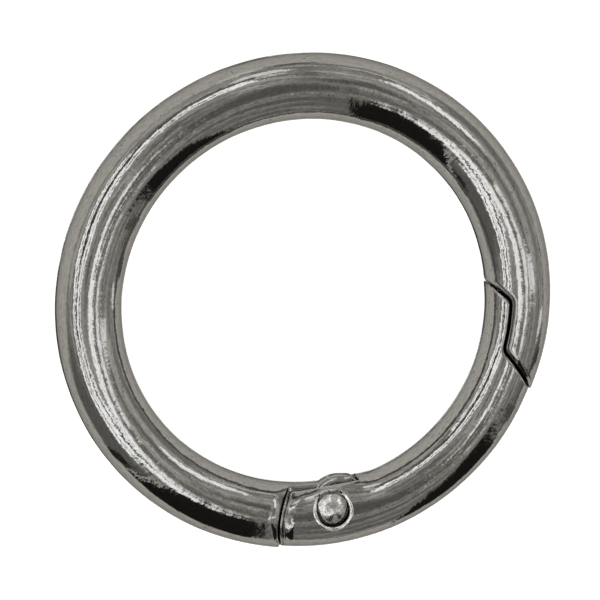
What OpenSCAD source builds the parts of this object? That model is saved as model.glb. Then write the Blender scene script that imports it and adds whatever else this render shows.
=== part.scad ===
// Spring gate ring: a round ring of cast zinc with a hinged gate that a small spring holds shut.
// The ring lies flat on the XY plane. Its centre is the origin, and the hinge axis runs along Z.

/* [Ring] */
// Inside diameter of the ring
ring_inner_d = 28; // [25:0.5:40]
// Diameter of the ring's round section
ring_section_d = 5; // [4.8:0.1:6]

/* [Gate] */
// Diameter of the gate's round section, slimmer than the ring's
gate_section_d = 4.6; // [4.4:0.1:4.8]
// How far the centre of the gate's arc is pushed out of the ring's centre
gate_push = 0.75; // [0:0.05:1]
// Direction of that push, seen from above
gate_push_angle = -61; // [-75:1:-50]

/* [Hinge] */
// Angle of the hinge on the ring, seen from above
hinge_angle = -83.4; // [-90:0.1:-80]
// How far the rivet's axis lies inside the middle of the ring's section
pivot_inset = 0.6; // [0.2:0.05:0.8]
// How far the centre of the gate's rounded end lies outside the middle of the section
end_offset = 0.55; // [0.3:0.05:0.7]
// Radius of the gate's rounded end, seen from above
gate_end_r = 4.25; // [4.1:0.05:4.5]
// Length of the slimmer collar at that end
collar_len = 0.35; // [0.2:0.05:0.5]
// How far the collar lies below the gate's skin
collar_step = 0.12; // [0.08:0.02:0.2]
// Gap between the gate's end and the ring's hollow shoulder
shoulder_gap = 0.15; // [0.1:0.05:0.4]

/* [Tongue] */
// Thickness of the ring's tongue between the gate's cheeks
tongue_t = 1.5; // [1.2:0.1:1.6]
// Gap between the tongue and each cheek
tongue_side_gap = 0.1; // [0.05:0.01:0.2]
// Wall of the gate outside the tongue
outer_wall = 1.1; // [0.9:0.05:1.3]
// Gap between the tongue's outer edge and that wall
tongue_edge_gap = 0.3; // [0.2:0.05:0.4]
// Radius of the tongue's eye round the rivet
eye_r = 1.75; // [1.6:0.05:1.8]
// Radius of the lobe that looks out inside the ring
lobe_r = 2.25; // [2:0.01:2.3]
// Distance from the rivet to the lobe's centre, towards the gate
lobe_shift = 0.8; // [0.6:0.05:1.1]
// Radius of the cam face that pushes the plunger
cam_r = 2.21; // [2.1:0.01:2.3]
// Cam centre's distance from the rivet along the gate
cam_along = 0.26; // [0.15:0.01:0.3]
// Cam centre's distance from the rivet towards the ring's middle
cam_in = 1.2; // [1.1:0.01:1.25]
// Gap between the tongue's reach and the end of the slot
slot_end_gap = 0.06; // [0.06:0.02:0.4]

/* [Latch] */
// How far the lap's long face lies inside the middle of the ring's section
lap_inset = 0.95; // [0.5:0.05:1.2]
// Angle at which the ring's nose ends
nose_angle = -15.2; // [-20:0.1:-12]
// Angle at which the gate's tip ends
tip_angle = -0.8; // [-5:0.1:5]
// Gap between the gate and the ring round the lap
latch_gap = 0.22; // [0.22, 0.3]
// Corner radius of the gate's tip
tip_fillet = 0.7; // [0.4:0.05:1]
// Corner radius of the ring's nose
nose_fillet = 0.8; // [0.4:0.05:1]

/* [Rivet] */
// Diameter of the rivet's shank
rivet_d = 1.4; // [1.2:0.1:1.6]
// Running clearance of the shank in the tongue, on the radius
rivet_clearance = 0.05; // [0.02:0.01:0.08]
// Diameter of the rivet's heads
head_d = 2.35; // [2.1:0.05:2.45]
// Height of a head's straight rim
head_rim_h = 0.35; // [0.2:0.05:0.5]
// Height of a head's dome above its rim
head_dome_h = 0.35; // [0.2:0.05:0.5]
// Diameter of the seat sunk in each cheek
seat_d = 2.8; // [2.6:0.05:3.1]
// Height of the seat's floor above the middle of the gate
seat_z = 1.55; // [1.4:0.05:1.7]

/* [Spring and plunger] */
// Angle round the ring at which the spring's bore runs straight across the radius
bore_angle = -66; // [-68:0.5:-64]
// Distance of the bore's axis inside the middle of the ring's section
bore_inset = 0.5; // [0.4:0.05:0.6]
// Diameter of the bore
bore_d = 1.7; // [1.6:0.05:1.8]
// Depth of the bore, from the level of the hinge
bore_depth = 10.2; // [9:0.1:10.6]
// Clearance between the plunger and the bore, on the radius
plunger_clearance = 0.05; // [0.03:0.01:0.1]
// Length of the plunger's thick part
plunger_len = 2.3; // [2:0.1:2.6]
// Gap between the plunger's domed tip and the cam while the gate is shut
plunger_gap = 0.05; // [0.02:0.01:0.1]
// Diameter of the stem inside the spring
stem_d = 0.7; // [0.5:0.05:0.8]
// Length of that stem
stem_len = 1.4; // [1:0.1:2]
// Diameter of the spring wire
wire_d = 0.24; // [0.2:0.01:0.3]
// Clearance between the spring and the bore, on the radius
spring_clearance = 0.1; // [0.05:0.01:0.15]
// Number of turns
spring_turns = 9; // [6:1:12]

/* [Hidden] */
$fn = 96;

// Ring
ring_r = ring_section_d / 2;
mid_r = ring_inner_d / 2 + ring_r;
middle = [0, 0];
far = 4 * mid_r;

// Gate
gate_r = gate_section_d / 2;
gate_arc_r = mid_r + ring_r - gate_r - gate_push;
gate_centre = polar(gate_push, gate_push_angle);

// Hinge
pivot_r = mid_r - pivot_inset;
pivot = polar(pivot_r, hinge_angle);
end_centre = polar(mid_r + end_offset, hinge_angle);
shoulder_r = gate_end_r + shoulder_gap;
slot_h = tongue_t + 2 * tongue_side_gap;
wall_r = mid_r + ring_r - outer_wall;
neck_r = wall_r - tongue_edge_gap;
neck_sweep = 22;
neck_start = hinge_angle - neck_sweep;
past_tip = 20;
past_latch = tip_angle + past_tip;
lobe_centre = [lobe_shift, 0];
cam_centre = [cam_along, cam_in];
cam_corner = meet(lobe_centre, lobe_r, cam_centre, cam_r);
slot_r = norm(cam_corner) + slot_end_gap;

// Latch
lap_r = mid_r - lap_inset;
outer_leg_r = norm(polar(lap_r, nose_angle) - pivot);
inner_leg_r = norm(polar(lap_r, tip_angle) - pivot);
tip_round = meet(pivot, inner_leg_r - tip_fillet, middle, lap_r - tip_fillet);
nose_round = meet(pivot, outer_leg_r + nose_fillet, middle, lap_r + nose_fillet);
overreach = 1.02;

// Spring
bore_turn = bore_angle - hinge_angle;
bore_off = mid_r - bore_inset - pivot_r * cos(bore_turn);
plunger_r = bore_d / 2 - plunger_clearance;
cam_at_bore = [cam_along * cos(bore_turn) + cam_in * sin(bore_turn),
               cam_in * cos(bore_turn) - cam_along * sin(bore_turn) + bore_off];
touch = sqrt(pow(cam_r + plunger_r, 2) - cam_at_bore.y * cam_at_bore.y);
plunger_tip = cam_at_bore.x + touch - plunger_r + plunger_gap;
spring_start = plunger_tip + plunger_len;
spring_len = bore_depth - spring_start;
coil_r = bore_d / 2 - spring_clearance - wire_d / 2;

// Point at radius r and angle a round the ring's centre
function polar(r, a) = [r * cos(a), r * sin(a)];

// Point at distance d from p and distance r from q, on the left of the line from q to p
function meet(p, d, q, r) =
    let (v = p - q, c = norm(v), along = (c * c + r * r - d * d) / (2 * c))
    let (side = sqrt(r * r - along * along))
    q + [v.x * along - v.y * side, v.y * along + v.x * side] / c;

// Solid ring of round section, bent round the point c
module round_ring(c, bend_r, section_r) {
    translate([c.x, c.y, 0])
        rotate_extrude($fn = 180)
            translate([bend_r, 0]) circle(r = section_r);
}

// Flat sector of the ring's plane between two angles
module sector(from_a, to_a) {
    mid_a = (from_a + to_a) / 2;
    polygon([[0, 0], polar(far, from_a), polar(far, mid_a), polar(far, to_a)]);
}

// Upright prism of height h over a flat outline
module upright(h) {
    linear_extrude(height = h, center = true) children();
}

// Puts things in the hinge's own frame: X along the gate, Y towards the ring's middle
module at_hinge() {
    translate([pivot.x, pivot.y, 0]) rotate([0, 0, hinge_angle + 90]) children();
}

// Puts things on the spring bore's axis: X along the bore, from the level of the hinge
module at_bore() {
    at_hinge() rotate([0, 0, bore_turn]) translate([0, -bore_off, 0]) children();
}

// Four-sided patch that reaches from a fillet's centre past the corner that it rounds
module fillet_patch(centre, corner, leg_1, leg_2) {
    polygon([centre, leg_1, corner, leg_2]);
}

// Outline that the gate may fill at the latch, grown by g on every side.
// Both end legs are arcs about the hinge, so the gate swings clear of the nose.
module latch_outline(g) {
    notch_r = nose_fillet - g;
    tip_r = tip_fillet + g;
    notch_corner = meet(pivot, outer_leg_r + g, middle, lap_r + g);
    tip_corner = meet(pivot, inner_leg_r + g, middle, lap_r + g);
    difference() {
        union() {
            translate(pivot) circle(r = outer_leg_r + g, $fn = 360);
            intersection() {
                translate(pivot) circle(r = inner_leg_r + g, $fn = 360);
                circle(r = lap_r + g, $fn = 360);
            }
            difference() {
                fillet_patch(nose_round, notch_corner,
                             toward(nose_round, pivot, overreach * notch_r),
                             inward(nose_round, overreach * notch_r));
                translate(nose_round) circle(r = notch_r);
            }
        }
        difference() {
            fillet_patch(tip_round, overreach * tip_corner,
                         away(tip_round, pivot, tip_r), inward(tip_round, -tip_r));
            translate(tip_round) circle(r = tip_r);
        }
    }
}

// Points at distance d from p: toward q, away from q, and toward the ring's centre
function toward(p, q, d) = p + d * (q - p) / norm(q - p);
function away(p, q, d) = toward(p, q, -d);
function inward(p, d) = p - d * p / norm(p);

// Upright disc of radius r about the centre of the gate's round end
module end_disc(r) {
    translate([end_centre.x, end_centre.y, 0]) cylinder(h = 2 * ring_section_d, r = r, center = true);
}

// Flat outline of the tongue's end: the rivet's eye and the lobe, cut back by the cam's arc
module tongue_end() {
    circle(r = eye_r);
    intersection() {
        translate(lobe_centre) circle(r = lobe_r);
        translate(cam_centre) circle(r = cam_r);
    }
}

// Open ring with a tongue at the hinge and a nose at the latch
module ring_body() {
    color([0.54, 0.53, 0.51])
    difference() {
        union() {
            difference() {
                round_ring(middle, mid_r, ring_r);
                upright(2 * ring_section_d) intersection() {
                    latch_outline(latch_gap / 2);
                    sector(hinge_angle, past_latch);
                }
                end_disc(shoulder_r);
            }
            intersection() {
                round_ring(middle, mid_r, ring_r);
                upright(tongue_t) intersection() {
                    circle(r = neck_r, $fn = 360);
                    sector(neck_start, hinge_angle);
                }
            }
            at_hinge() upright(tongue_t) tongue_end();
        }
        at_hinge() cylinder(h = ring_section_d, d = rivet_d + 2 * rivet_clearance, center = true);
    }
}

// Curved gate: a fork with a collared round end at the hinge and a stepped tip at the latch
module gate() {
    color([0.56, 0.55, 0.53])
    difference() {
        union() {
            intersection() {
                round_ring(gate_centre, gate_arc_r, gate_r);
                union() {
                    upright(2 * ring_section_d) intersection() {
                        latch_outline(-latch_gap / 2);
                        sector(hinge_angle, past_latch);
                    }
                    end_disc(gate_end_r - collar_len);
                }
            }
            intersection() {
                round_ring(gate_centre, gate_arc_r, gate_r - collar_step);
                end_disc(gate_end_r);
            }
        }
        upright(slot_h) intersection() {
            circle(r = wall_r, $fn = 360);
            union() {
                translate(pivot) circle(r = slot_r);
                sector(neck_start, hinge_angle);
            }
        }
        at_hinge() cylinder(h = ring_section_d, d = rivet_d, center = true);
        for (side = [0, 1]) mirror([0, 0, side])
            at_hinge() translate([0, 0, seat_z]) cylinder(h = ring_r, d = seat_d);
        at_bore() rotate([0, 90, 0]) cylinder(h = bore_depth, d = bore_d);
    }
}

// Flat outline of half the rivet, to be turned about its axis
module rivet_profile() {
    head_r = head_d / 2;
    dome_r = (head_r * head_r + head_dome_h * head_dome_h) / (2 * head_dome_h);
    rim_z = seat_z + head_rim_h;
    square([rivet_d / 2, rim_z]);
    translate([0, seat_z]) square([head_r, head_rim_h]);
    intersection() {
        translate([0, rim_z + head_dome_h - dome_r]) circle(r = dome_r);
        translate([0, rim_z]) square([head_r, head_dome_h]);
    }
}

// Solid rivet with a domed head in each cheek's seat
module hinge_rivet() {
    color([0.66, 0.65, 0.63])
    at_hinge()
        for (side = [0, 1]) mirror([0, 0, side])
            rotate_extrude() rivet_profile();
}

// Steel plunger with a domed tip that bears on the tongue's cam, and a stem inside the spring
module spring_plunger() {
    color([0.75, 0.75, 0.77])
    at_bore() translate([plunger_tip, 0, 0]) rotate([0, 90, 0]) {
        translate([0, 0, plunger_r]) sphere(r = plunger_r);
        translate([0, 0, plunger_r]) cylinder(h = plunger_len - plunger_r, r = plunger_r);
        cylinder(h = plunger_len + stem_len, d = stem_d);
    }
}

// Points of one round of the wire's skin at turn t of the coil
function wire_ring(t, steps) = [
    for (i = [0 : steps - 1])
        let (a = 360 * i / steps, r = coil_r + wire_d / 2 * cos(a))
        [r * cos(360 * t), r * sin(360 * t),
         wire_d / 2 + (spring_len - wire_d) * t / spring_turns + wire_d / 2 * sin(a)]
];

// Coil spring between the plunger and the bottom of the bore
module return_spring() {
    steps = 6;
    per_turn = 16;
    rings = spring_turns * per_turn;
    points = [for (k = [0 : rings]) each wire_ring(k / per_turn, steps)];
    sides = [
        for (k = [0 : rings - 1]) for (i = [0 : steps - 1])
            let (j = (i + 1) % steps)
            [k * steps + i, k * steps + j, (k + 1) * steps + j, (k + 1) * steps + i]
    ];
    first = [for (i = [steps - 1 : -1 : 0]) i];
    last = [for (i = [0 : steps - 1]) rings * steps + i];
    color([0.7, 0.7, 0.72])
    at_bore() translate([spring_start, 0, 0]) rotate([0, 90, 0])
        polyhedron(points = points, faces = concat([first], sides, [last]), convexity = 10);
}

ring_body();
gate();
hinge_rivet();
spring_plunger();
return_spring();
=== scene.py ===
import math

import bpy
import numpy as np
from mathutils import Matrix, Vector


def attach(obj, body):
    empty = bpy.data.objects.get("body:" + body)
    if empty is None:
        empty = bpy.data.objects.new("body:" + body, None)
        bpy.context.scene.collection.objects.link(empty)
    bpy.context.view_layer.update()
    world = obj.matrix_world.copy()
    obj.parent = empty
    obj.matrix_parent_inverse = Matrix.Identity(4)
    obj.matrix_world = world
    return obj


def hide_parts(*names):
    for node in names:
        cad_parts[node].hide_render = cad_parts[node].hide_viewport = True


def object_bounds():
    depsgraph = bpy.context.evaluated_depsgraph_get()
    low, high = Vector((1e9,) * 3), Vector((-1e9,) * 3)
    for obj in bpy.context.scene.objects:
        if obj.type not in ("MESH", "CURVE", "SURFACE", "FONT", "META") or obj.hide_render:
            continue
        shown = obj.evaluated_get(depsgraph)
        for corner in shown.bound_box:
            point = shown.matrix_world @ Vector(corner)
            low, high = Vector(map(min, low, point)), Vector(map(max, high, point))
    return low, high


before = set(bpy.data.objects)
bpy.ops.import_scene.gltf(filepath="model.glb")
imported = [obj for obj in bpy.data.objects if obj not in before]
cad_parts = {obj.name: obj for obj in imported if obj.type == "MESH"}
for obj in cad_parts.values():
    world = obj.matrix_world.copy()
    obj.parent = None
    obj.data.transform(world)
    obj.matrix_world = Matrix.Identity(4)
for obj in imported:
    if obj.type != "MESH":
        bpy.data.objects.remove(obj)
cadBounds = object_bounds()
bpy.ops.object.select_all(action="DESELECT")
print("frame loaded")

# sizes that more than one piece needs, in mm and degrees
mm = 0.001  # metres in one
ringBend = 16.5  # radius of the bend in the middle of the ring's bar
hingeAngle = -83.4
pivotRadius = 15.9
latchSide = 8.0  # the latch is cut only to the right of this

# a long lens, well above the bench
cameraView = {
    "turnX": 11.96,  # degrees
    "turnY": 11.64,
    "distance": 600.0,  # mm
    "aside": (0.291, -0.099),  # mm
    "lens": 477.97,
    "sensor": 36.0,
    "clip": (0.05, 20.0),  # metres
}


def makeCamera(view):
    cameraData = bpy.data.cameras.new("benchCamera")
    camera = bpy.data.objects.new("benchCamera", cameraData)
    bpy.context.scene.collection.objects.link(camera)
    turn = Matrix.Rotation(math.radians(view["turnX"]), 3, "X") @ Matrix.Rotation(
        math.radians(view["turnY"]), 3, "Y")
    place = turn.transposed() @ Vector((-view["aside"][0], -view["aside"][1], view["distance"]))
    camera.matrix_world = Matrix.Translation(place * mm) @ turn.transposed().to_4x4()
    cameraData.lens = view["lens"]
    cameraData.sensor_width = view["sensor"]
    cameraData.clip_start, cameraData.clip_end = view["clip"]
    bpy.context.scene.camera = camera


makeCamera(cameraView)
print("camera set")

floorLook = {"size": 3.0, "colour": (0.92, 0.92, 0.915, 1.0), "roughness": 0.6, "glow": 0.6}


def makeFloor(look):
    bpy.ops.mesh.primitive_plane_add(size=look["size"], location=(0, 0, cadBounds[0][2]))
    floor = bpy.context.object
    floor.name = "benchFloor"
    paint = bpy.data.materials.new("floorWhite")
    paint.use_nodes = True
    shader = paint.node_tree.nodes["Principled BSDF"]
    shader.inputs["Base Color"].default_value = look["colour"]
    shader.inputs["Roughness"].default_value = look["roughness"]
    shader.inputs["Specular IOR Level"].default_value = 0.0
    shader.inputs["Emission Color"].default_value = (1.0, 1.0, 1.0, 1.0)
    shader.inputs["Emission Strength"].default_value = look["glow"]
    floor.data.materials.append(paint)
    floor.visible_glossy = False  # the room's own lower half shows in the metal instead


makeFloor(floorLook)

# The room is laid out flat as seen from the bench: the middle is straight up, 1 is the horizon,
# more is below it, x runs to the right and y to the back.
studio = {
    "cameraSky": 1.0,
    "ceiling": 0.77, "front": 0.50,  # light of the room at the back and at the front
    "frontToBack": (-0.6, 0.1),
    "lowest": -0.6,  # nothing further below the bench is told apart
    "roomColour": (1.0, 0.965, 0.885, 1.0), "lampColour": (1.0, 1.0, 1.0, 1.0),
    "lampsFrom": (1.2, 2.2),
    "mottle": (6.0, 0.24),  # scale and strength of the walls' unevenness
    "unevenFrom": (0.3, 0.7),
    "folds": {"middle": (-0.15, 0.09), "across": 13.0, "around": 1.6, "strength": 0.46},
    "bench": {"light": 1.24, "from": 1.02, "to": 1.10, "edge": 0.66, "edgeHalf": 0.022,
              "edgeShare": 0.8},
    "patches": [  # light, middle, half widths, soft edge
        ("shelf", 0.32, (-0.66, -0.62), (0.46, 0.27), 0.35),
        ("darkMiddle", 0.30, (0.06, 0.03), (0.085, 0.15), 0.5),
        ("darkSide", 0.52, (0.78, 0.30), (0.14, 0.36), 0.5),
        ("gapInFront", 0.42, (0.02, -0.55), (0.10, 0.30), 0.5),
        ("paleLeft", 1.15, (-0.86, 0.05), (0.09, 0.14), 0.5),
        ("paleBack", 1.15, (-0.54, 0.74), (0.13, 0.10), 0.5),
        ("innerEnd", 2.1, (-0.05, 0.60), (0.10, 0.035), 0.4),
        ("backWindow", 2.2, (-0.03, 0.74), (0.13, 0.075), 0.25),
        ("backLamp", 1.7, (-0.17, 1.10), (0.13, 0.09), 0.4),
        ("darkBack", 0.4, (0.14, 1.10), (0.16, 0.09), 0.4),
        ("darkRight", 0.3, (0.92, -0.42), (0.20, 0.10), 0.4),
        ("rightGlint", 2.2, (0.84, -0.25), (0.10, 0.035), 0.3),
    ],
    "doors": [  # dark openings, each between two lines from its apex
        {"apex": (0.09, -0.12), "left": (-0.72, -0.80), "right": (-0.09, -0.996), "soft": 0.012,
         "start": 0.05, "end": 1.10, "light": 0.03},
        {"apex": (0.236, -0.19), "left": (0.33, -0.944), "right": (0.78, -0.63), "soft": 0.016,
         "start": 0.04, "end": 0.94, "light": 0.03},
        {"apex": (0.107, -0.107), "left": (-0.743, -0.669), "right": (-0.676, -0.737),
         "soft": 0.015, "start": 0.74, "end": 1.25, "light": 0.05},
        {"apex": (0.20, -0.14), "left": (0.925, -0.379), "right": (0.949, -0.317), "soft": 0.012,
         "start": 0.66, "end": 1.15, "light": 0.18},
        {"apex": (0.20, -0.14), "left": (0.82, -0.57), "right": (0.86, -0.51), "soft": 0.012,
         "start": 0.30, "end": 1.0, "light": 0.24},
    ],
    "doorStartSoft": 0.03, "doorEndSoft": 0.05,
    "doorCrack": {"from": (-0.07, -0.32), "along": (-0.65, -0.76), "half": 0.012, "light": 1.0},
    "arcs": [  # light, circle's middle, radius, half width, soft edge, spot on it, reach
        ("betweenLow", 0.17, (-0.168, 0.052), 0.385, 0.05, 0.03, (-0.40, -0.20), 0.33),
        ("betweenHigh", 0.17, (-0.168, 0.170), 0.385, 0.05, 0.03, (-0.46, 0.30), 0.27),
        ("betweenTop", 0.34, (-0.120, 0.150), 0.48, 0.045, 0.03, (-0.24, 0.615), 0.22),
        ("innerGlow", 0.95, (-0.085, 0.10), 0.285, 0.05, 0.05, (-0.36, 0.05), 0.36),
        ("outerHigh", 3.3, (-0.275, 0.194), 0.392, 0.060, 0.010, (-0.655, 0.216), 0.28),
        ("outerLow", 3.3, (-0.204, 0.058), 0.399, 0.046, 0.010, (-0.455, -0.255), 0.31),
        ("innerHigh", 3.15, (-0.060, 0.147), 0.374, 0.064, 0.012, (-0.352, 0.359), 0.36),
        ("innerLow", 3.15, (-0.132, 0.047), 0.303, 0.054, 0.012, (-0.295, -0.205), 0.34),
        ("outerHighLine", 0.12, (-0.275, 0.194), 0.384, 0.0095, 0.005, (-0.655, 0.216), 0.27),
        ("outerLowLine", 0.12, (-0.204, 0.058), 0.391, 0.0095, 0.005, (-0.455, -0.255), 0.28),
        ("innerHighLine", 0.10, (-0.060, 0.147), 0.360, 0.012, 0.006, (-0.352, 0.359), 0.27),
        ("innerLowLine", 0.10, (-0.132, 0.047), 0.290, 0.012, 0.006, (-0.295, -0.205), 0.30),
        ("overhead", 2.95, (0.040, 0.111), 0.253, 0.033, 0.008, (0.0, -0.137), 0.075),
        ("overheadRight", 2.6, (0.040, 0.111), 0.253, 0.030, 0.008, (0.19, -0.095), 0.055),
        ("overheadLeft", 2.95, (-0.007, -0.035), 0.077, 0.034, 0.010, (-0.068, -0.068), 0.10),
        ("rightSpot", 2.3, (0.37, -0.45), 0.36, 0.028, 0.010, (0.38, -0.09), 0.10),
        ("sidePanel", 2.95, (-0.318, 0.213), 0.775, 0.052, 0.012, (0.44, 0.36), 0.18),
        ("sideStrip", 1.6, (-0.10, 0.40), 0.640, 0.022, 0.012, (0.50, 0.68), 0.22),
    ],
    "arcEndSoft": 0.03,
}


def feed(tree, socket, value):
    if isinstance(value, bpy.types.NodeSocket):
        tree.links.new(value, socket)
    elif value is not None:
        socket.default_value = value


def mathNode(tree, operation, first, second=None):
    node = tree.nodes.new("ShaderNodeMath")
    node.operation = operation
    feed(tree, node.inputs[0], first)
    feed(tree, node.inputs[1], second)
    return node.outputs[0]


def vectorNode(tree, operation, first, second=None):
    node = tree.nodes.new("ShaderNodeVectorMath")
    node.operation = operation
    feed(tree, node.inputs[0], first)
    feed(tree, node.inputs[1], second)
    number = operation in ("DOT_PRODUCT", "DISTANCE", "LENGTH")
    return node.outputs["Value"] if number else node.outputs[0]


def splitNode(tree, vector):
    parts = tree.nodes.new("ShaderNodeSeparateXYZ")
    tree.links.new(vector, parts.inputs[0])
    return parts.outputs


def joinNode(tree, *numbers):
    joined = tree.nodes.new("ShaderNodeCombineXYZ")
    for number, socket in zip(numbers, joined.inputs):
        tree.links.new(number, socket)
    return joined.outputs[0]


def noiseNode(tree, vector, scale, detail, extra=None, rough=0.5):
    noise = tree.nodes.new("ShaderNodeTexNoise")
    noise.noise_dimensions = "4D" if extra is not None else "3D"
    tree.links.new(vector, noise.inputs["Vector"])
    if extra is not None:
        tree.links.new(extra, noise.inputs["W"])
    noise.inputs["Scale"].default_value = scale
    noise.inputs["Detail"].default_value = detail
    noise.inputs["Roughness"].default_value = rough
    return noise.outputs[0]


def softStep(tree, value, low, high, start=0.0, end=1.0):
    node = tree.nodes.new("ShaderNodeMapRange")
    node.interpolation_type = "SMOOTHSTEP"
    tree.links.new(value, node.inputs["Value"])
    for name, number in zip(("From Min", "From Max", "To Min", "To Max"), (low, high, start, end)):
        node.inputs[name].default_value = number
    return node.outputs["Result"]


def mixLight(tree, mask, level, light):
    mix = tree.nodes.new("ShaderNodeMix")
    tree.links.new(mask, mix.inputs["Factor"])
    tree.links.new(level, mix.inputs["A"])
    mix.inputs["B"].default_value = light
    return mix.outputs["Result"]


def mixColours(tree, mask, first, second):
    mix = tree.nodes.new("ShaderNodeMix")
    mix.data_type = "RGBA"
    tree.links.new(mask, mix.inputs["Factor"])
    feed(tree, mix.inputs[6], first)
    feed(tree, mix.inputs[7], second)
    return mix.outputs[2]


def offLine(tree, spot, point, across):
    return vectorNode(tree, "DOT_PRODUCT", vectorNode(tree, "SUBTRACT", spot, (*point, 0)), across)


def arcMask(tree, spot, arc, endSoft):
    _, _, middle, radius, half, soft, near, reach = arc
    off = mathNode(tree, "SUBTRACT", vectorNode(tree, "DISTANCE", spot, (*middle, 0)), radius)
    strip = softStep(tree, mathNode(tree, "ABSOLUTE", off), half - soft, half + soft, 1.0, 0.0)
    away = vectorNode(tree, "DISTANCE", spot, (*near, 0))
    return mathNode(tree, "MULTIPLY", strip,
                    softStep(tree, away, reach - endSoft, reach + endSoft, 1.0, 0.0))


def sideMask(tree, spot, point, along, soft, turn):
    across = (along[1] * turn, -along[0] * turn, 0)
    return softStep(tree, offLine(tree, spot, point, across), -soft, soft)


def patchMask(tree, spot, patch):
    _, _, middle, half, soft = patch
    off = vectorNode(tree, "SUBTRACT", spot, (*middle, 0))
    off = vectorNode(tree, "DIVIDE", off, (*half, 1))
    return softStep(tree, vectorNode(tree, "LENGTH", off), 1 - soft, 1 + soft, 1.0, 0.0)


def doorMask(tree, spot, door, startSoft, endSoft):
    mask = mathNode(tree, "MULTIPLY",
                    sideMask(tree, spot, door["apex"], door["left"], door["soft"], -1),
                    sideMask(tree, spot, door["apex"], door["right"], door["soft"], 1))
    away = vectorNode(tree, "DISTANCE", spot, (*door["apex"], 0))
    start, end = door["start"], door["end"]
    mask = mathNode(tree, "MULTIPLY", mask,
                    softStep(tree, away, start - startSoft, start + startSoft))
    return mathNode(tree, "MULTIPLY", mask,
                    softStep(tree, away, end - endSoft, end + endSoft, 1.0, 0.0))


def roomSpot(tree, lowest):  # where each direction lies in the flat room
    parts = splitNode(tree, tree.nodes.new("ShaderNodeTexCoord").outputs["Generated"])
    height = mathNode(tree, "ADD", mathNode(tree, "MAXIMUM", parts["Z"], lowest), 1.0)
    return joinNode(tree, mathNode(tree, "DIVIDE", parts["X"], height),
                    mathNode(tree, "DIVIDE", parts["Y"], height))


def foldWaves(tree, spot, folds):  # streaks round the room's middle
    arm = vectorNode(tree, "SUBTRACT", spot, (*folds["middle"], 0))
    reach = vectorNode(tree, "LENGTH", arm)
    turned = splitNode(tree, vectorNode(tree, "NORMALIZE", arm))
    fold = joinNode(tree, mathNode(tree, "MULTIPLY", reach, folds["across"]),
                    mathNode(tree, "MULTIPLY", turned["X"], folds["around"]),
                    mathNode(tree, "MULTIPLY", turned["Y"], folds["around"]))
    return noiseNode(tree, fold, 1.0, 3.0)


def wallLight(tree, spot, light):
    level = softStep(tree, vectorNode(tree, "DOT_PRODUCT", spot, (0, 1, 0)),
                     *light["frontToBack"], light["front"], light["ceiling"])
    scale, strength = light["mottle"]
    folds = light["folds"]
    for waves, depth in ((noiseNode(tree, spot, scale, 3.0), strength),
                         (foldWaves(tree, spot, folds), folds["strength"])):
        uneven = softStep(tree, waves, *light["unevenFrom"], 1 - depth, 1 + depth)
        level = mathNode(tree, "MULTIPLY", level, uneven)
    return level


def addBench(tree, spot, level, bench):
    out = vectorNode(tree, "LENGTH", spot)
    level = mixLight(tree, softStep(tree, out, bench["from"], bench["to"]), level, bench["light"])
    edge = mathNode(tree, "ABSOLUTE", mathNode(tree, "SUBTRACT", out, bench["from"]))
    half = bench["edgeHalf"]
    edge = softStep(tree, edge, half * 0.4, half * 1.6, 1.0, 0.0)
    return mixLight(tree, mathNode(tree, "MULTIPLY", edge, bench["edgeShare"]), level,
                    bench["edge"])


def addDoors(tree, spot, level, light):
    softEnds = light["doorStartSoft"], light["doorEndSoft"]
    masks = []
    for door in light["doors"]:
        masks.append(doorMask(tree, spot, door, *softEnds))
        level = mixLight(tree, masks[-1], level, door["light"])
    crack = light["doorCrack"]  # of light, in the first door
    across = (crack["along"][1], -crack["along"][0], 0)
    off = mathNode(tree, "ABSOLUTE", offLine(tree, spot, crack["from"], across))
    line = softStep(tree, off, crack["half"] * 0.6, crack["half"] * 1.4, 1.0, 0.0)
    return mixLight(tree, mathNode(tree, "MULTIPLY", line, masks[0]), level, crack["light"])


def makeStudio(light):
    world = bpy.data.worlds.new("studio")
    bpy.context.scene.world = world
    world.use_nodes = True
    tree = world.node_tree
    tree.nodes.clear()
    spot = roomSpot(tree, light["lowest"])
    level = addBench(tree, spot, wallLight(tree, spot, light), light["bench"])
    for patch in light["patches"]:
        level = mixLight(tree, patchMask(tree, spot, patch), level, patch[1])
    level = addDoors(tree, spot, level, light)
    for arc in light["arcs"]:
        level = mixLight(tree, arcMask(tree, spot, arc, light["arcEndSoft"]), level, arc[1])
    toCamera = tree.nodes.new("ShaderNodeLightPath").outputs["Is Camera Ray"]
    white = mathNode(tree, "MAXIMUM", softStep(tree, level, *light["lampsFrom"]), toCamera)
    level = mixLight(tree, toCamera, level, light["cameraSky"])
    background = tree.nodes.new("ShaderNodeBackground")
    tree.links.new(mixColours(tree, white, light["roomColour"], light["lampColour"]),
                   background.inputs["Color"])
    tree.links.new(level, background.inputs["Strength"])
    output = tree.nodes.new("ShaderNodeOutputWorld")
    tree.links.new(background.outputs["Background"], output.inputs["Surface"])
    bpy.context.scene.view_settings.view_transform = "Standard"


makeStudio(studio)
print("floor and studio set")

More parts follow.
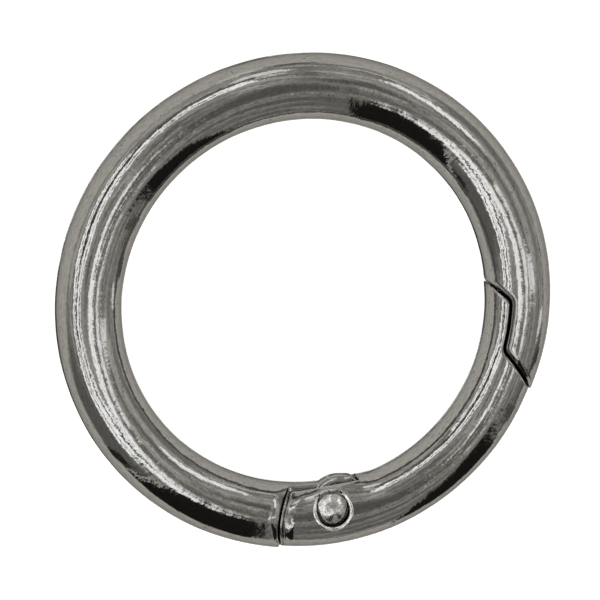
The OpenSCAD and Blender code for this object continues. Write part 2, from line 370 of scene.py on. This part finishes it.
# lengths in mm: waves and lines run along the bar, dents, peel and grain are the casting's skin
# under the plating, and painted shade darkens the metal below the bar's own skin
platings = {
    "ringPlating": {
        "colour": (0.262, 0.261, 0.258, 1.0), "dull": (0.196, 0.194, 0.188, 1.0),
        "roughness": (0.04, 0.08),
        "wave": (0.8, 6.0, 0.005),  # across, along, height
        "lines": (0.16, 0.6, 0.0042),
        "bumps": [(1.1, 0.008), (0.30, 0.0056), (0.10, 0.0005)],  # size, height
        "mottle": (0.12, 0.42), "pits": 0.34,
        "bar": ((0.0, 0.0), ringBend, 2.5),  # middle of the bend, its radius, the bar's radius
    },
    "gatePlating": {
        "colour": (0.262, 0.261, 0.258, 1.0), "dull": (0.196, 0.194, 0.188, 1.0),
        "roughness": (0.04, 0.08),
        "wave": (0.8, 6.0, 0.006),
        "lines": (0.16, 0.6, 0.0042),
        "bumps": [(1.1, 0.008), (0.30, 0.0060), (0.10, 0.0006)],
        "mottle": (0.12, 0.42), "pits": 0.34,
        "bar": ((0.3636, -0.6560), 15.95, 2.3),
    },
    "rivetPlating": {
        "colour": (0.47, 0.468, 0.462, 1.0), "dull": (0.24, 0.236, 0.228, 1.0),
        "roughness": (0.18, 0.28),
        "wave": (0.8, 0.8, 0.004),
        "lines": (0.2, 0.2, 0.0015),
        "bumps": [(0.5, 0.010), (0.20, 0.010), (0.085, 0.003)],
        "mottle": (0.14, 0.14), "pits": 0.25,
        "bar": None,
    },
    # the lips are the gate's own metal, painted much lighter than the gate's plating as a painted
    # highlight: the bright ring round each seat
    "lipPaintedHighlight": {
        "colour": (0.55, 0.548, 0.542, 1.0), "dull": (0.34, 0.336, 0.326, 1.0),
        "roughness": (0.12, 0.22),
        "wave": (0.8, 0.8, 0.003),
        "lines": (0.2, 0.4, 0.002),
        "bumps": [(0.5, 0.006), (0.20, 0.005), (0.085, 0.002)],
        "mottle": (0.14, 0.2), "pits": 0.25,
        "bar": None,
    },
    "plungerSteel": {
        "colour": (0.50, 0.50, 0.50, 1.0), "dull": (0.36, 0.36, 0.36, 1.0),
        "roughness": (0.16, 0.3),
        "wave": (0.5, 0.5, 0.0008),
        "lines": (0.05, 0.6, 0.0008),
        "bumps": [(0.3, 0.0006), (0.12, 0.0004), (0.05, 0.0002)],
        "mottle": (0.1, 0.3), "pits": 0.2,
        "bar": None,
    },
    "springSteel": {
        "colour": (0.42, 0.415, 0.405, 1.0), "dull": (0.28, 0.27, 0.26, 1.0),
        "roughness": (0.2, 0.34),
        "wave": (0.4, 0.4, 0.0008),
        "lines": (0.05, 0.5, 0.0006),
        "bumps": [(0.2, 0.0005), (0.1, 0.0003), (0.05, 0.0002)],
        "mottle": (0.08, 0.2), "pits": 0.15,
        "bar": None,
    },
}
platingWearAndShade = {
    "glance": (0.45, 0.45, 0.45, 1.0),  # tint where the metal is seen at a low angle
    "patchSize": 1.6, "patchRough": (0.35, 0.7),
    "mottleFrom": (0.38, 0.72),
    "pitEdge": (0.16, 0.30), "pitPatches": (0.56, 0.62), "pitShare": 0.6,
    "pitColour": (0.05, 0.048, 0.044, 1.0),
    # painted shade in gaps and hollows: depth below the bar's skin where it starts and where it is
    # full, its near-black colour, and roughness added
    "paintedShadeDepth": (0.34, 0.7), "paintedShadeColour": (0.022, 0.021, 0.019, 1.0), "paintedShadeRough": 0.4,
}


def bumpNode(tree, height, distance, normal=None):
    bump = tree.nodes.new("ShaderNodeBump")
    tree.links.new(height, bump.inputs["Height"])
    bump.inputs["Strength"].default_value = 1.0
    bump.inputs["Distance"].default_value = distance
    if normal is not None:
        tree.links.new(normal, bump.inputs["Normal"])
    return bump.outputs["Normal"]


def barCoordinates(tree, across, along):  # noise space stretched along the ring's bar
    place = tree.nodes.new("ShaderNodeTexCoord").outputs["Object"]
    parts = splitNode(tree, place)
    out = vectorNode(tree, "LENGTH", vectorNode(tree, "MULTIPLY", place, (1, 1, 0)))
    turn = ringBend / along
    joined = joinNode(
        tree, mathNode(tree, "MULTIPLY", out, 1 / (across * mm)),
        mathNode(tree, "MULTIPLY", parts["Z"], 1 / (across * mm)),
        mathNode(tree, "MULTIPLY", mathNode(tree, "DIVIDE", parts["X"], out), turn))
    return joined, mathNode(tree, "MULTIPLY", mathNode(tree, "DIVIDE", parts["Y"], out), turn)


def longSide(tree, first, second):
    squares = mathNode(tree, "ADD", mathNode(tree, "POWER", first, 2.0),
                       mathNode(tree, "POWER", second, 2.0))
    return mathNode(tree, "POWER", squares, 0.5)


def depthBelow(tree, place, bar):  # metres below the round skin of a bent bar
    middle, bend, section = bar
    parts = splitNode(tree, vectorNode(tree, "SUBTRACT", place,
                                       (middle[0] * mm, middle[1] * mm, 0)))
    off = mathNode(tree, "SUBTRACT", longSide(tree, parts["X"], parts["Y"]), bend * mm)
    return mathNode(tree, "SUBTRACT", section * mm, longSide(tree, off, parts["Z"]))


def platedMetal(name, look, wearAndShade):
    metal = bpy.data.materials.new(name)
    metal.use_nodes = True
    tree = metal.node_tree
    shader = tree.nodes["Principled BSDF"]
    shader.inputs["Metallic"].default_value = 1.0
    shader.inputs["Specular Tint"].default_value = wearAndShade["glance"]
    place = tree.nodes.new("ShaderNodeTexCoord").outputs["Object"]
    normal = None
    for across, along, height in (look["wave"], look["lines"]):
        vector, extra = barCoordinates(tree, across, along)
        normal = bumpNode(tree, noiseNode(tree, vector, 1.0, 2.0, extra), height * mm, normal)
    for size, height in look["bumps"]:
        grain = noiseNode(tree, place, 1 / (size * mm), 1.5)
        normal = bumpNode(tree, grain, height * mm, normal)
    tree.links.new(normal, shader.inputs["Normal"])
    patches = noiseNode(tree, place, 1 / (wearAndShade["patchSize"] * mm), 3.0, rough=0.6)
    rough = softStep(tree, patches, *wearAndShade["patchRough"], *look["roughness"])
    vector, extra = barCoordinates(tree, *look["mottle"])
    mottle = noiseNode(tree, vector, 1.0, 2.0, extra, rough=0.6)
    colour = mixColours(tree, softStep(tree, mottle, *wearAndShade["mottleFrom"]),
                        look["colour"], look["dull"])
    cells = tree.nodes.new("ShaderNodeTexVoronoi")
    tree.links.new(place, cells.inputs["Vector"])
    cells.inputs["Scale"].default_value = 1 / (look["pits"] * mm)
    pits = mathNode(tree, "MULTIPLY",
                    softStep(tree, cells.outputs["Distance"], *wearAndShade["pitEdge"], 1.0, 0.0),
                    softStep(tree, patches, *wearAndShade["pitPatches"]))
    colour = mixColours(tree, mathNode(tree, "MULTIPLY", pits, wearAndShade["pitShare"]), colour,
                        wearAndShade["pitColour"])
    if look["bar"]:
        # painted shade: the metal is painted near-black and rougher below the bar's round skin, in
        # the latch gap and the hinge's hollows
        shallow, deep = wearAndShade["paintedShadeDepth"]
        paintedShade = softStep(tree, depthBelow(tree, place, look["bar"]), shallow * mm, deep * mm)
        colour = mixColours(tree, paintedShade, colour, wearAndShade["paintedShadeColour"])
        rough = mathNode(tree, "ADD", rough,
                         mathNode(tree, "MULTIPLY", paintedShade, wearAndShade["paintedShadeRough"]))
    tree.links.new(rough, shader.inputs["Roughness"])
    tree.links.new(colour, shader.inputs["Base Color"])
    return metal


metals = {name: platedMetal(name, look, platingWearAndShade) for name, look in platings.items()}
nodeMetals = {"ring_body": "ringPlating", "gate": "gatePlating", "hinge_rivet": "rivetPlating",
              "spring_plunger": "plungerSteel", "return_spring": "springSteel"}
for name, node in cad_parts.items():
    node.data.materials.clear()
    node.data.materials.append(metals[nodeMetals[name]])
print("metals mixed")


def polar(radius, degrees):
    angle = math.radians(degrees)
    return np.array((radius * math.cos(angle), radius * math.sin(angle)))


pivot = polar(pivotRadius, hingeAngle)
endCentre = polar(17.05, hingeAngle)  # of the gate's rounded end and the ring's hollow shoulder
alongGate, inwards = polar(1, hingeAngle + 90), polar(-1, hingeAngle)


def flatDistance(p, centre):
    return np.hypot(*(p[:, :2] - centre).T)


def easedShare(value, full, none):
    share = np.clip((value - none) / (full - none), 0, 1)
    return share * share * (3 - 2 * share)


def roundEdge(a, b, r):  # a solid's field where a and b meet in an edge rounded by r
    return np.minimum(-r, np.maximum(a, b)) + np.hypot(np.maximum(a + r, 0), np.maximum(b + r, 0))


def softMax(a, b, k):
    h = np.maximum(k - np.abs(a - b), 0) / k
    return np.maximum(a, b) + h * h * k / 4


def barField(p, centre, bend, section):
    flat = np.hypot(p[:, 0] - centre[0], p[:, 1] - centre[1]) - bend
    return np.hypot(flat, p[:, 2]) - section


# the lap between the ring's nose and the gate's tip, in mm and degrees
latchForm = {
    "lap": 15.55, "nose": -15.2, "tip": -0.8, "noseRound": 0.8, "tipRound": 0.7,
    "legEnds": (-30, 90),  # far ends of its outer and inner leg, seen from the rivet
    "deepGap": 0.02, "deepFrom": (1.5, 1.0),  # the gap closes up below the rim
}


def circlesMeet(first, firstRadius, second, secondRadius):
    v = first - second
    c = np.hypot(*v)
    along = (c * c + secondRadius * secondRadius - firstRadius * firstRadius) / (2 * c)
    side = math.sqrt(secondRadius * secondRadius - along * along)
    return second + np.array((v[0] * along - v[1] * side, v[1] * along + v[0] * side)) / c


def latchArcs(form):  # centre, radius, start, end and side of each arc, from the outside in
    origin = np.zeros(2)
    lap, noseRound, tipRound = form["lap"], form["noseRound"], form["tipRound"]
    outerLeg = np.hypot(*(polar(lap, form["nose"]) - pivot))
    innerLeg = np.hypot(*(polar(lap, form["tip"]) - pivot))
    tipCentre = circlesMeet(pivot, innerLeg - tipRound, origin, lap - tipRound)
    noseCentre = circlesMeet(pivot, outerLeg + noseRound, origin, lap + noseRound)
    toPivot = (pivot - noseCentre) / np.hypot(*(pivot - noseCentre))
    noseStart = noseCentre + noseRound * toPivot
    noseEnd = noseCentre - noseRound * noseCentre / np.hypot(*noseCentre)
    tipStart = tipCentre + tipRound * tipCentre / np.hypot(*tipCentre)
    away = (tipCentre - pivot) / np.hypot(*(tipCentre - pivot))
    tipEnd = tipCentre + tipRound * away
    farOut, farIn = (polar(leg, turn) + pivot
                     for leg, turn in zip((outerLeg, innerLeg), form["legEnds"]))
    return [
        (pivot, outerLeg, farOut, noseStart, 1),
        (noseCentre, noseRound, noseStart, noseEnd, -1),
        (origin, lap, noseEnd, tipStart, 1),
        (tipCentre, tipRound, tipStart, tipEnd, 1),
        (pivot, innerLeg, tipEnd, farIn, 1),
    ]


latchLine = latchArcs(latchForm)


def arcDistance(points, arcs):  # below nought on the gate's side
    best = np.full(len(points), 1e9)
    signed = np.zeros(len(points))
    for centre, radius, start, end, side in arcs:
        v = points - centre
        d = np.hypot(v[:, 0], v[:, 1])
        a, b = start - centre, end - centre
        middle = a / np.hypot(*a) + b / np.hypot(*b)
        middle /= np.hypot(*middle)
        within = (v @ middle) / np.maximum(d, 1e-9) >= (a @ middle) / np.hypot(*a)
        off = np.where(within, np.abs(d - radius), np.minimum(
            np.hypot(*(points - start).T), np.hypot(*(points - end).T)))
        nearer = off < best
        best[nearer] = off[nearer]
        signed[nearer] = (off * np.sign((d - radius) * side))[nearer]
    return signed


def latchGapAt(p, gap):  # half the gap at each point's height
    deep = latchForm["deepGap"]
    return deep + (gap - deep) * easedShare(np.abs(p[:, 2]), *latchForm["deepFrom"])


castForm = [  # unevenness of the cast bar: height, waves round the ring, waves round the bar, start
    (0.005, 13, 2, 0.4), (0.003, 23, -3, 2.1), (0.0015, 47, 4, 4.0), (0.001, 71, 1, 1.2),
]


def castWaves(p):
    turn = np.arctan2(p[:, 1], p[:, 0])
    roll = np.arctan2(p[:, 2], np.hypot(p[:, 0], p[:, 1]) - ringBend)
    return sum(height * np.sin(ringWaves * turn + barWaves * roll + start)
               for height, ringWaves, barWaves, start in castForm)


# the lobe of the ring's tongue that looks out between the gate's cheeks, in mm from the rivet
lobeForm = {
    "lobe": (0.8, 0.0, 2.25), "cam": (0.26, 1.2, 2.21), "half": 0.75,
    "rim": (0.55, 0.06), "rimAlong": (1.3, 2.1), "grow": 0.05,  # roundings at its two ends
    "inwardFrom": 1.3, "alongFrom": -1.4,
}


def lobeField(p, rim):
    along, inward = (p[:, :2] - pivot) @ alongGate, (p[:, :2] - pivot) @ inwards
    x, y, r = lobeForm["lobe"]
    outline = np.hypot(along - x, inward - y) - r
    x, y, r = lobeForm["cam"]
    outline = np.maximum(outline, np.hypot(along - x, inward - y) - r)
    plate = np.abs(p[:, 2]) - lobeForm["half"]
    share = easedShare(along, *reversed(lobeForm["rimAlong"]))
    near, far = lobeForm["rim"]
    lobe = (roundEdge(plate, outline - lobeForm["grow"] * share, near + (far - near) * share)
            if rim else np.maximum(plate, outline))
    return np.where((inward > lobeForm["inwardFrom"]) & (along > lobeForm["alongFrom"]), lobe, 9.0)


ringForm = {  # mm
    "section": 2.5,
    "shoulder": 4.4, "shownShoulder": 4.34, "deepShoulder": 4.28, "deepFrom": (1.7, 1.0),
    "shoulderEdge": 0.16,
    "endRoll": (0.28, 1.0), "rollFrom": (1.7, 0.5),  # how the bar falls away to its end
    "latchGap": 0.11, "shownGap": 0.07, "lapChamfer": 0.27, "creaseSoft": 0.08,
    "sharpRim": (0.12, 1.5),  # edges grow sharper below this height, down to this share
}


def rimShare(p):  # how round an edge is at each point's height
    least, height = ringForm["sharpRim"]
    return least + (1 - least) * np.minimum(1.0, np.abs(p[:, 2]) / height)


def endRollAt(p, inside, form):
    drop, length = form["endRoll"]
    upper = easedShare(np.abs(p[:, 2]), *ringForm["rollFrom"])
    return drop * (1 - np.clip(inside / length, 0, 1)) ** 2 * upper


def ringField(p, sharp=False):
    bar = barField(p, (0, 0), ringBend, ringForm["section"])
    hollow = ringForm["shoulder"] - flatDistance(p, endCentre)
    line = arcDistance(p[:, :2], latchLine)
    if sharp:  # the ring as the solid has it
        latch = np.where(p[:, 0] > latchSide, ringForm["latchGap"] - line, -9.0)
        return np.minimum(np.maximum(np.maximum(bar, hollow), latch), lobeField(p, False))
    latch = np.where(p[:, 0] > latchSide, latchGapAt(p, ringForm["shownGap"]) - line, -9.0)
    share = rimShare(p)
    upper = easedShare(np.abs(p[:, 2]), *ringForm["deepFrom"])
    hollow += ringForm["deepShoulder"] - ringForm["shoulder"] + upper * (
        ringForm["shownShoulder"] - ringForm["deepShoulder"])
    body = roundEdge(bar + castWaves(p) + endRollAt(p, -hollow, ringForm), hollow,
                     ringForm["shoulderEdge"] * share)
    chamfer = (bar + latch + ringForm["lapChamfer"] * share) * math.sqrt(0.5)
    crease = ringForm["creaseSoft"]
    body = softMax(softMax(body, latch, crease), chamfer, crease)
    return np.minimum(body, lobeField(p, True))


gateForm = {  # mm and degrees
    "push": (0.75, -61.0), "bend": 15.95, "section": 2.3,
    "end": 3.9, "shownEnd": 3.98, "endEdge": 0.2, "endSide": 1.0, "endRoll": (0.27, 0.8),
    "collarEnd": 4.25, "collarStep": 0.12, "shownStep": 0.1, "stepFrom": (1.3, 0.5),
    "collarEdge": 0.11, "bead": 4.02, "grooveDepth": 0.42,
    "latchGap": 0.11, "shownGap": 0.07, "latchEdge": 0.22,
    "seat": 1.4, "seatFloor": 1.55, "seatEdge": 0.08,
    "swell": (0.45, 0.7, 3.6),  # cheeks' swelling on the inner side: height, middle, half length
}
gateMiddle = polar(*gateForm["push"])


def cheekSwell(p):
    height, middle, half = gateForm["swell"]
    along = ((p[:, :2] - pivot) @ alongGate - middle) / half
    inner = (gateForm["bend"] - flatDistance(p, gateMiddle)) / gateForm["section"]
    hump = np.cos(np.clip(along, -1, 1) * math.pi / 2) ** 2
    return height * hump * np.clip(inner, 0, 1) ** 2


def gateField(p, sharp=False):
    bar = barField(p, gateMiddle, gateForm["bend"], gateForm["section"])
    nearHinge = (p[:, :2] - endCentre) @ alongGate < gateForm["endSide"]
    out = np.where(nearHinge, flatDistance(p, endCentre), 0.0)
    line = arcDistance(p[:, :2], latchLine)
    seat = -np.maximum(flatDistance(p, pivot) - gateForm["seat"],
                       gateForm["seatFloor"] - np.abs(p[:, 2]))
    end, collar = out - gateForm["end"], out - gateForm["collarEnd"]
    if sharp:  # the gate as the solid has it
        latch = np.where(p[:, 0] > latchSide, line + gateForm["latchGap"], -9.0)
        thin = bar + gateForm["collarStep"]
        body = np.minimum(np.maximum(bar, end), np.maximum(thin, collar))
        return np.maximum(np.maximum(body, latch), seat)
    latch = np.where(p[:, 0] > latchSide, line + latchGapAt(p, gateForm["shownGap"]), -9.0)
    share = rimShare(p)
    upper = easedShare(np.abs(p[:, 2]), *gateForm["stepFrom"])
    bar, end = bar - cheekSwell(p), out - gateForm["shownEnd"]
    thin = bar + gateForm["shownStep"] * upper
    rolled = bar + castWaves(p) + endRollAt(p, -end, gateForm)
    bead = roundEdge(roundEdge(thin, collar, gateForm["collarEdge"]), gateForm["bead"] - out,
                     gateForm["collarEdge"])
    groove = np.maximum(bar + gateForm["grooveDepth"] * upper, collar)
    body = np.minimum(roundEdge(rolled, end, gateForm["endEdge"] * share),
                      np.minimum(bead, groove))
    body = roundEdge(body, latch, gateForm["latchEdge"] * share)
    return roundEdge(body, seat, gateForm["seatEdge"])


# cells of the skins, and how they settle on the fields above, in mm
skinLook = {
    "ring": 0.142, "gate": 0.0835, "rivet": 0.05,
    "smoothing": 3, "merge": 1e-4,
    "reach": 0.09, "limit": 0.6, "rounds": 6, "step": 1e-4,
    "flatSlope": 0.3, "onField": 0.01, "steadySlope": 0.6,
}


def readPoints(piece):
    flat = np.empty(len(piece.data.vertices) * 3, np.float32)
    piece.data.vertices.foreach_get("co", flat)
    return flat.reshape(-1, 3).astype(float)


def writePoints(piece, points):
    piece.data.vertices.foreach_set("co", points.astype(np.float32).ravel())
    piece.data.update()


def fieldSlope(field, spots):
    step = skinLook["step"]
    return np.stack([(field(spots + step * axis) - field(spots - step * axis)) / (2 * step)
                     for axis in np.eye(3)], 1)


def settleSkin(piece, field, look):  # moves the skin onto the field and returns its normals
    points = readPoints(piece)
    near = np.abs(field(points, sharp=True)) < look["reach"]
    before = points[near]
    spots = before.copy()
    for _ in range(look["rounds"]):
        slope = fieldSlope(field, spots)
        steep = np.maximum((slope ** 2).sum(1), look["flatSlope"])
        spots = spots - slope * (field(spots) / steep)[:, None]
    moved = np.linalg.norm(spots - before, axis=1)
    settled = (np.abs(field(spots)) < look["onField"]) & (moved < look["limit"])
    chosen = np.flatnonzero(near)[settled]
    points[chosen] = spots[settled]
    writePoints(piece, points)
    normals = np.empty(len(points) * 3, np.float32)
    piece.data.vertex_normals.foreach_get("vector", normals)
    normals = normals.reshape(-1, 3).astype(float)
    slope = fieldSlope(field, points[chosen])
    length = np.linalg.norm(slope, axis=1)
    steady = length > look["steadySlope"]
    normals[chosen[steady]] = slope[steady] / length[steady][:, None]
    return normals


def useOnly(piece):
    bpy.ops.object.select_all(action="DESELECT")
    bpy.context.view_layer.objects.active = piece
    piece.select_set(True)


def applyModifier(piece, kind, **settings):
    modifier = piece.modifiers.new(kind.lower(), kind)
    for name, value in settings.items():
        setattr(modifier, name, value)
    useOnly(piece)
    bpy.ops.object.modifier_apply(modifier=modifier.name)


def evenSkin(nodeName, pieceName, cell):  # a copy of the solid in mm, with even small faces
    piece = bpy.data.objects.new(pieceName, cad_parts[nodeName].data.copy())
    bpy.context.scene.collection.objects.link(piece)
    piece.data.transform(Matrix.Scale(1 / mm, 4))
    useOnly(piece)
    bpy.ops.object.mode_set(mode="EDIT")
    bpy.ops.mesh.select_all(action="SELECT")
    bpy.ops.mesh.remove_doubles(threshold=skinLook["merge"])
    bpy.ops.object.mode_set(mode="OBJECT")
    applyModifier(piece, "REMESH", mode="VOXEL", voxel_size=cell, adaptivity=0.0)
    applyModifier(piece, "SMOOTH", factor=0.5, iterations=skinLook["smoothing"])
    return piece


def finishPiece(piece, body, plating, nodeName=None, normals=None):
    piece.data.transform(Matrix.Scale(mm, 4))
    piece.data.materials.clear()
    piece.data.materials.append(plating)
    useOnly(piece)
    bpy.ops.object.shade_smooth()
    if normals is not None:
        piece.data.normals_split_custom_set_from_vertices(normals)
    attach(piece, body)
    if nodeName:
        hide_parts(nodeName)
    print(piece.name, len(piece.data.polygons), "faces")


ring = evenSkin("ring_body", "ringSkin", skinLook["ring"])
finishPiece(ring, "ring", metals["ringPlating"], "ring_body",
            settleSkin(ring, ringField, skinLook))

gate = evenSkin("gate", "gateSkin", skinLook["gate"])
finishPiece(gate, "gate", metals["gatePlating"], "gate",
            settleSkin(gate, gateField, skinLook))

# the rivet's heads were flattened and spread as they were set
headForm = {"from": 1.7, "blend": 0.1, "wider": 1.06, "dome": 0.24, "radius": 1.2}


def spreadHeads(piece, form):
    points = readPoints(piece)
    around = points[:, :2] - pivot
    share = easedShare(np.abs(points[:, 2]), form["from"] + form["blend"],
                       form["from"] - form["blend"])
    points[:, :2] = pivot + around * (1 + (form["wider"] - 1) * share)[:, None]
    out = np.clip(np.hypot(*around.T) / form["radius"], 0, 1)
    points[:, 2] += np.sign(points[:, 2]) * form["dome"] * share * (1 - out ** 2)
    writePoints(piece, points)


rivet = evenSkin("hinge_rivet", "rivetSkin", skinLook["rivet"])
spreadHeads(rivet, headForm)
finishPiece(rivet, "gate", metals["rivetPlating"], "hinge_rivet")

# lips pressed up round both seats when the rivet was set
lipForm = {"radius": 1.42, "half": 0.17, "sink": 0.04, "round": 160, "section": 20}


def makeLip(form, side):
    bpy.ops.mesh.primitive_torus_add(
        major_segments=form["round"], minor_segments=form["section"],
        major_radius=form["radius"], minor_radius=form["half"],
        location=(pivot[0], pivot[1], 0))
    lip = bpy.context.object
    useOnly(lip)
    bpy.ops.object.transform_apply(location=True, rotation=True, scale=True)
    points = readPoints(lip)
    around = points[:, :2] - pivot
    ridge = pivot + around / np.hypot(*around.T)[:, None] * form["radius"]
    off = np.hypot(*(ridge - gateMiddle).T) - gateForm["bend"]
    height = np.sqrt(gateForm["section"] ** 2 - off ** 2) - form["sink"]
    points[:, 2] = side * (height + points[:, 2])
    writePoints(lip, points)
    if side < 0:
        lip.data.flip_normals()
    return lip


upperLip = makeLip(lipForm, 1)
lowerLip = makeLip(lipForm, -1)
useOnly(upperLip)
lowerLip.select_set(True)
bpy.ops.object.join()
upperLip.name = "seatLips"
# the lips get the lighter plating, a painted highlight
finishPiece(upperLip, "gate", metals["lipPaintedHighlight"])
